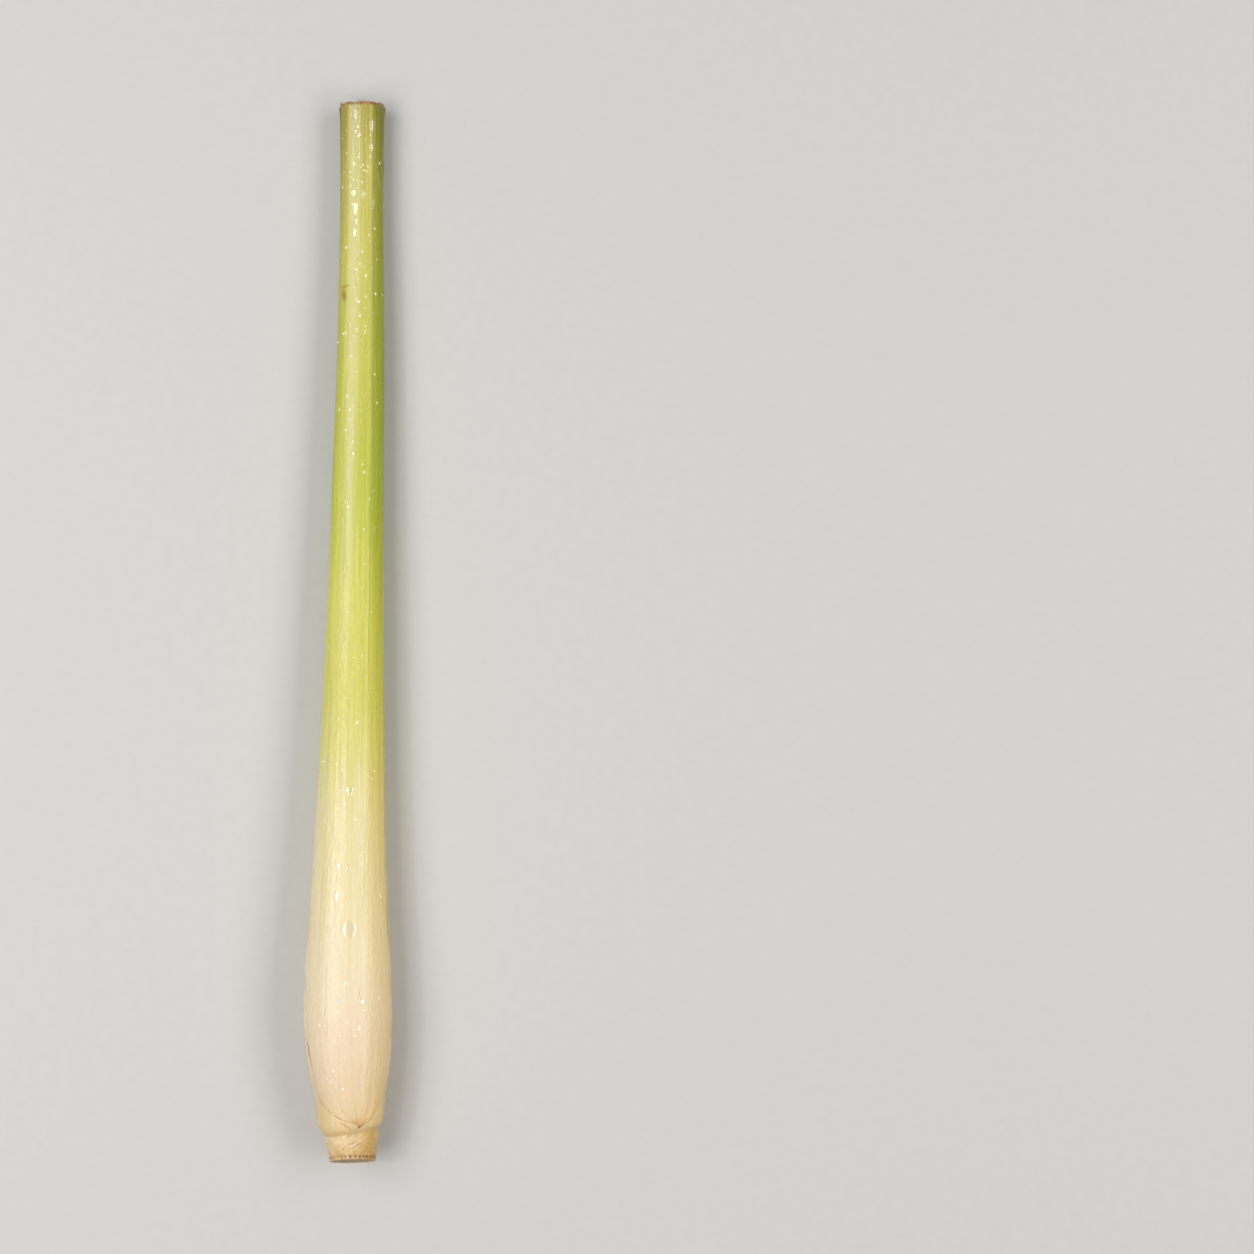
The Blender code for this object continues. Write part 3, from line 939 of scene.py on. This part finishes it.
FULL_RINGS = (0.05, 0.18, 0.3, 0.43, 0.55, 0.68, 0.8, 0.88, 0.94, 0.98, 1.0, 1.01)
FINE_RINGS = (0.08, 0.4, 0.7, 0.9, 1.0, 1.01)
MIST_SEED = 5
mist_dice = np.random.default_rng(MIST_SEED)


def drop(place, middle, half_length, half_width, height, pointed, rings=FULL_RINGS, step=15):
    """Rings of one drop: longer and narrower towards its lower end if pointed."""
    rings = np.array(rings)[:, None]
    sides_round = np.radians(np.arange(0, 360, step))
    wobble = 1 + 0.07 * uneven(np.degrees(sides_round) / 60, place, 70, wrap=6)
    u = rings * half_length * np.cos(sides_round) * wobble
    narrowing = 1 - pointed * np.clip(u / half_length, -1, 1)
    v = rings * half_width * np.sin(sides_round) * wobble * narrowing
    along = place - u
    angle = middle + np.degrees(v / silhouette(place))
    cap = height * np.sqrt(np.clip(1 - rings**2.6, 0, 1)) * (1 + 0.15 * pointed * -u / half_length)
    cap = np.where(rings > 1, -0.12, cap)
    ground = leaf_radius(0, along) + front_surface(along, angle)
    return to_world(along, ground + cap - 0.015, angle)


def fine_mist(count, start, end, widest):
    """Tiny drops strewn over the front; most are very small, and many run down two wet lines."""
    made = []
    for _ in range(count):
        size = 0.08 + 0.19 * mist_dice.uniform(0, 1) ** 3
        place, middle = mist_dice.uniform(start, end), mist_dice.uniform(-widest, widest)
        if mist_dice.uniform(0, 1) < 0.55:
            middle = -12 + 0.2 * middle + 30 * (mist_dice.uniform(0, 1) < 0.3)
        if abs(place - SCAR[0]) < 3 and middle < -28:
            middle = -middle
        made.append(drop(
            place, middle, size * mist_dice.uniform(1, 1.7), size, size * mist_dice.uniform(0.4, 0.7),
            mist_dice.uniform(0, 0.3), FINE_RINGS, 36,
        ))
    return made


drops = [drop(*entry) for entry in DROPS]
water_drops = join_tubes("water_drops", drops)
mist = fine_mist(150, 140, 197, 74) + fine_mist(70, 75, 140, 78) + fine_mist(130, 12, 75, 66)
water_mist = join_tubes("water_mist", mist)

# %% [markdown]
# The sheaths are cream at the bulb, with a breath of pink, and turn pale green from a third of the way up.
# The green comes in along the veins, so the border is a fringe of streaks. Two shades per place, mixed by
# streaks of three widths, give the stripes. The right edge all along and the left edge higher up are painted
# darker as shade, and a painted highlight runs as a pale band left of the middle. The surface is moist, so it
# has a thin clear coat.

# %% Finish of the sheaths that show
# along, pale shade, deep shade
SHADES = (
    (6.3, "f2d4a2", "e8c488"), (9, "f0d6af", "e5c79a"), (12, "f1dab7", "e7cba2"),
    (20, "f3dfc4", "eaceac"), (32, "f6e7cc", "efd9b4"), (50, "f5e8c2", "ebd9a0"),
    (66, "f3e7ba", "e4d590"), (76, "ece49e", "d6ce66"), (88, "e6e182", "cac642"),
    (106, "e6e280", "caca40"), (124, "d8d962", "b6bc28"), (153, "dad672", "bcbc30"),
    (172, "ded77a", "beba38"), (188, "dad17c", "b8ae3c"), (197, "c4b860", "9c9028"),
)
RAMP_LENGTH = 200
PALE = [(place / RAMP_LENGTH, pale) for place, pale, _ in SHADES]
DEEP = [(place / RAMP_LENGTH, deep) for place, _, deep in SHADES]
# Tints that paint shade on the edges of the sheaths, from the bulb to the top.
EDGE_SHADE_TINTS = (
    (0, "faeebe"), (0.22, "fff5c4"), (0.36, "fcee7e"), (0.5, "e2e448"), (0.65, "c8d62c"),
    (1, "acb81a"),
)


def sheath_colour(tree, green_start=0.0):
    """Streaky cream and green, moved along the stalk by green_start millimetres."""
    wide = streaks(tree, 0.045, 0.012, 2.0, 1.0)
    middle = streaks(tree, 0.22, 0.03, 3.0, 7.0)
    narrow = streaks(tree, 0.9, 0.05, 3.0, 13.0)
    pushed = (fit(tree, middle, 0.3, 0.7, -7, 7), fit(tree, narrow, 0.3, 0.7, -5, 5))
    place = reckon(tree, "ADD", "along", green_start, *pushed)
    share = reckon(tree, "DIVIDE", place, RAMP_LENGTH)
    mixing = reckon(
        tree, "ADD", fit(tree, wide, 0.3, 0.7, 0.2, 0.55),
        fit(tree, middle, 0.3, 0.7, -0.15, 0.25), fit(tree, narrow, 0.32, 0.68, -0.3, 0.3),
    )
    pale, deep = colour_along(tree, share, PALE), colour_along(tree, share, DEEP)
    colour = mix(tree, fit(tree, mixing, 0, 1), pale, deep)

    # Painted shade: the right edge darker, more so past the shoulder, and the left edge darker higher up.
    green = fit(tree, share, 0.32, 0.62)
    shade_past_shoulder = reckon(tree, "MULTIPLY", fit(tree, "around", 29, 37, 0, 0.35), green)
    right_edge_shade = reckon(tree, "ADD", shade_past_shoulder, fit(tree, "around", 14, 66, 0, 0.65))
    right_edge_shade = reckon(tree, "MULTIPLY", right_edge_shade, fit(tree, "around", 250, 300, 1, 0))
    far_up = fit(tree, share, 0.45, 0.95)
    left_edge_shade = reckon(tree, "MULTIPLY", fit(tree, "around", -32, -75, 0, 0.65), far_up)
    edge_shade = reckon(tree, "MAXIMUM", right_edge_shade, left_edge_shade)
    colour = mix(tree, edge_shade, colour, colour_along(tree, share, EDGE_SHADE_TINTS), "MULTIPLY")
    # Painted highlight: a pale band left of the middle, where the broad lamp's long highlight falls.
    painted_highlight_band = reckon(
        tree, "MULTIPLY", fit(tree, "around", -40, -21), fit(tree, "around", 5, -9),
        fit(tree, narrow, 0.3, 0.7, 0.5, 1.3), fit(tree, share, 0.4, 0.6, 0, 0.36),
    )
    return mix(tree, painted_highlight_band, colour, paint("f4eecc"))


def moist(tree, shader, colour, roughness=0.34):
    """Thin clear coat over a skin whose gloss and height vary grain by grain."""
    grain, patches = speckle(tree, 0.16), speckle(tree, 2.4)
    rough = reckon(
        tree, "ADD", fit(tree, grain, 0.3, 0.7, -0.07, 0.07), roughness,
        fit(tree, patches, 0.35, 0.65, -0.05, 0.06),
    )
    crinkles = streaks(tree, 0.1, 0.28, 3.0, 41.0, 1.6)
    relief = reckon(tree, "ADD", reckon(tree, "MULTIPLY", grain, 0.15), crinkles)
    skin, film = [
        add(tree, "Bump", {"Height": relief, "Strength": strength, "Distance": 0.00045}).outputs[0]
        for strength in (0.6, 0.3)
    ]
    plug(tree, shader, {
        "Base Color": colour, "Roughness": rough, "Normal": skin, "Specular IOR Level": 0.3,
        "Coat Weight": 0.3, "Coat Roughness": 0.16, "Coat Normal": film,
        "Subsurface Weight": 0.18, "Subsurface Scale": 0.0009, "Subsurface Radius": (1.0, 0.8, 0.4),
    })


def dried_edge(tree, colour, dark="805a30", pale="bc9c62", most=1.0):
    """Cut edges dry to straw and brown."""
    straw = two_tone(tree, streaks(tree, 0.35, 0.4, 2.0, 21.0), pale, dark, 0.4, 0.6)
    return mix(tree, fit(tree, "dry", 0.15, 0.85, 0, most), colour, straw)


tree, shader = new_finish("front_skin", front_sheath)
# Painted shade darkens the furrows and the pocket; scratches are pale, the torn scar brown, the fan stained.
colour = tinted(
    tree, sheath_colour(tree), ("fold", 0, 1, 0.5, "e4deb2", "MULTIPLY"),
    ("scratch", 0.1, 0.9, 0.55, "e8e8be"), ("torn", 0.15, 0.85, 0.75, "a27a32"),
    ("stain_and_shade", 0, 1, 0.75, "dca864"),
)
moist(tree, shader, dried_edge(tree, colour))

tree, shader = new_finish("outer_skin", outer_sheath)
# Thin margins pale with a painted highlight on the ridge; stains and painted shade near the foot.
colour = tinted(
    tree, sheath_colour(tree, -1.0), ("thin", 0.15, 2.0, 0.8, "f8e8c2"),
    ("stain_and_shade", 0, 1, 0.75, "d09a52"),
)
moist(tree, shader, dried_edge(tree, colour), 0.37)

# %% [markdown]
# The inner leaves grow in the dark, so they are nearly white, yellow-green near the top. One of them has
# the pink blush that shows as a ring in the cut. Their cut edges have dried only a little.

# %% Finish of the inner leaves
for piece, name, foot, top, blush, most in (
    (third_sheath, "inner_skin", "f6ecd2", "cece78", "e2d6a0", 0.3),
    (fourth_sheath, "blush_skin", "f7ead6", "d6ce8c", "ce7876", 0.75),
    (heart, "heart_skin", "f8f0dc", "d6d68a", "d6c482", 0.3),
):
    tree, shader = new_finish(name, piece)
    colour = two_tone(tree, "along", foot, top, 20, 190)
    stripes = fit(tree, streaks(tree, 0.3, 0.03, 3.0, 31.0), 0.4, 0.6, 0, 0.35)
    colour = mix(tree, stripes, colour, paint(foot))
    colour = tinted(tree, colour, ("blush", 0, 1, most, blush))
    colour = dried_edge(tree, colour, "b08e5c", "dece98", 0.4)
    moist(tree, shader, colour, 0.3)

# %% [markdown]
# The stub is old tissue: yellow-cream above and browner towards the cut, brown in its pits. Its creases and
# its right side are painted darker as shade, and its raised lines paler as a painted highlight. On the cut
# face the rind is golden, a thin brown ring follows, and the pith is a dull tan dotted with the cut ends of
# the vessels.

# %% Finish of the stem
FRESH, STALE, OLD = "f2dbb0", "e6c692", "cea66e"
VESSELS_PER_M = 1450.0
tree, shader = new_finish("stem_skin", stem_stub)
mottle = speckle(tree, 1.1, 3.0)
aged, fresh = two_tone(tree, mottle, STALE, OLD), two_tone(tree, mottle, FRESH, STALE)
# Painted shade on the right side and in the creases, a painted highlight on the raised lines; the pits are
# brown.
side_colour = tinted(
    tree, mix(tree, fit(tree, "along", 0.3, 3.6), aged, fresh),
    ("right_side_shade", 0, 1, 1, "e8dab0", "MULTIPLY"), ("painted_crease_shade", 0.1, 0.9, 0.45, "c4965c"),
    ("painted_ridge_highlight", 0.1, 0.9, 0.7, "fceccc"), ("pit", 0.1, 0.6, 1, "6c4222"),
)

where = add(tree, "TexCoord", {}).outputs["Object"]
cells = add(tree, "TexVoronoi", {"Vector": where, "Scale": VESSELS_PER_M}, feature="F1")
vessel = fit(tree, cells.outputs["Distance"], 0.12, 0.34, 0.75, 0)
pith_grain = speckle(tree, 0.5, 4.0)
pith_colour = two_tone(tree, pith_grain, "b49464", "927048")
pith_colour = mix(tree, vessel, pith_colour, paint("644628"))
rind_colour = two_tone(tree, pith_grain, "deba7c", "c0965a")
cut_colour = mix(tree, fit(tree, "ring", 0.868, 0.885), pith_colour, rind_colour)
dark_ring = reckon(
    tree, "MULTIPLY", fit(tree, "ring", 0.83, 0.85), fit(tree, "ring", 0.88, 0.865), 0.75
)
cut_colour = mix(tree, dark_ring, cut_colour, paint("7c5632"))
colour = mix(tree, fit(tree, "ring", 1.0, 1.2), cut_colour, side_colour)
moist(tree, shader, colour, 0.42)

# %% [markdown]
# Dried fibres are straw-coloured and dull. Water is clear, so it shows only by its glints and by the way
# it bends the stripes below it. The mist is too fine to look through, so its drops are pale beads whose
# colour paints in their glints.

# %% Finish of fibres and water
tree, shader = new_finish("dried_fibre", top_fibres)
colour = two_tone(tree, "shade", "e2ce9e", "b28c58", 0, 1)
worn = fit(tree, speckle(tree, 0.5), 0.4, 0.7, 0, 0.5)
colour = mix(tree, worn, colour, paint("967042"))
plug(tree, shader, {"Base Color": colour, "Roughness": 0.6})

tree, shader = new_finish("water", water_drops)
ripple = fit(tree, speckle(tree, 3.0), 0.3, 0.7, 0.01, 0.04)
plug(tree, shader, {
    "Base Color": (1, 1, 1, 1), "Roughness": ripple, "Transmission Weight": 1, "IOR": 1.33,
    "Coat Weight": 1, "Coat IOR": 2.1, "Coat Roughness": 0.03,
})

tree, shader = new_finish("glint_painted_mist", water_mist)
# Painted highlight: the beads are pale all over in place of the sparkle of tiny drops.
shade = two_tone(tree, speckle(tree, 6.0), "fffae2", "f6ecc8", 0.4, 0.6)
plug(tree, shader, {"Base Color": shade, "Roughness": 0.12, "Coat Weight": 1})
print("finishes:", len(bpy.data.materials))

# %% [markdown]
# The stalk lies on a wide pale sheet, plain enough to stay clear of the stalk's own colours. It turns
# whiter far out, so that low views show no dark line behind. The sheet isn't part of the object.

# %% Floor
SHEET_RADIUS = 4
bpy.ops.mesh.primitive_circle_add(vertices=96, radius=SHEET_RADIUS, fill_type="NGON")
floor = bpy.context.object
floor.name = "floor"
tree, shader = new_finish("pale_sheet", floor)
pale = two_tone(tree, speckle(tree, 2.0), "cecece", "cccccc", 0.3, 0.7)
where = add(tree, "TexCoord", {}).outputs["Object"]
from_middle = add(tree, "VectorMath", {0: where}, operation="LENGTH")
far_out = fit(tree, from_middle.outputs["Value"], 0.3, 1.4)
colour = mix(tree, far_out, pale, paint("ffffff"))
plug(tree, shader, {"Base Color": colour, "Roughness": 0.55})

# %% [markdown]
# Each piece now takes the place of its solid: the solid is hidden and the piece hangs on the stalk's root
# body. Fibres and drops are extras that ride along with the stalk.

# %% Stand in for the solids
for piece, node, slot in (
    (stem_stub, "stem_base", "stem"), (outer_sheath, "outer_leaf_sheath", "outer_sheath"),
    (front_sheath, "second_leaf_sheath", "front_sheath"), (third_sheath, "third_leaf_sheath", "inner_sheath"),
    (fourth_sheath, "fourth_leaf_sheath", "blush_sheath"), (heart, "heart_leaves", "heart"),
):
    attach(piece, "root")
    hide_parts(node)
for extra in (top_fibres, water_drops, water_mist):
    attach(extra, "root")
for water in (water_drops, water_mist):
    for ray in ("shadow", "diffuse", "glossy"):
        setattr(water, "visible_" + ray, False)

bpy.context.view_layer.update()
